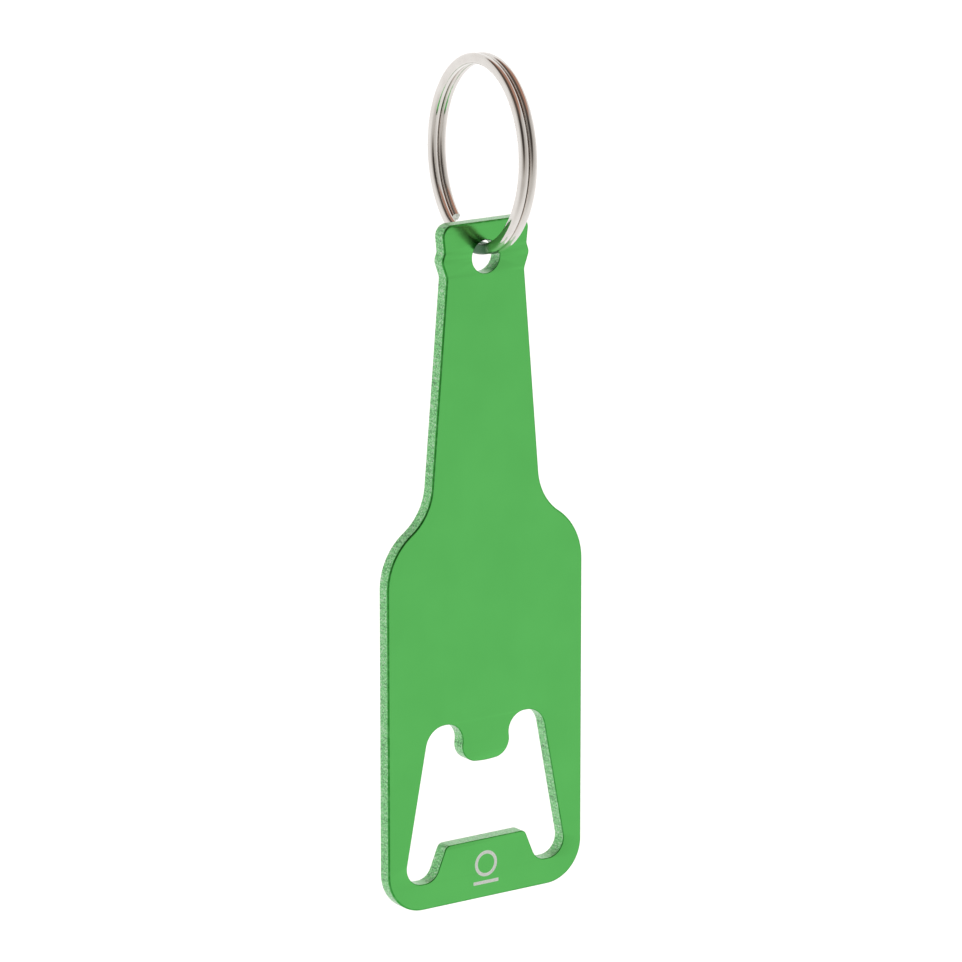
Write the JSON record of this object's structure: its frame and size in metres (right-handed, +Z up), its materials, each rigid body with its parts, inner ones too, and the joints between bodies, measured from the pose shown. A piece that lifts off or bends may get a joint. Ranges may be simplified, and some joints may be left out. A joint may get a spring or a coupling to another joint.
{
  "type": "keychain bottle opener",
  "caption": "Flat bottle-shaped metal crown cap opener with a cap cut-out near its foot, hanging from a round split key ring through a hole in its neck.",
  "frame": {"origin": "inside of the split ring's top, the point where the part is hung up", "axes": "+Z up along the opener, +X across the opener's width, -Y out of the opener's front face"},
  "size_m": [0.034, 0.0285, 0.1234],
  "materials": {
    "anodised_green": "green anodised, satin",
    "nickel_plate": "polished nickel plate on spring steel"
  },
  "bodies": {
    "ring": {"split_ring": "nickel_plate"},
    "opener": {"opener_plate": "anodised_green"}
  },
  "joints": [
    {"name": "opener_swing", "type": "hinge", "parent": "ring", "child": "opener", "pos_m": [-0.00144, -0.0014, -0.02699], "axis": [0, 1, 0], "range_deg": [-150, 150]}
  ]
}
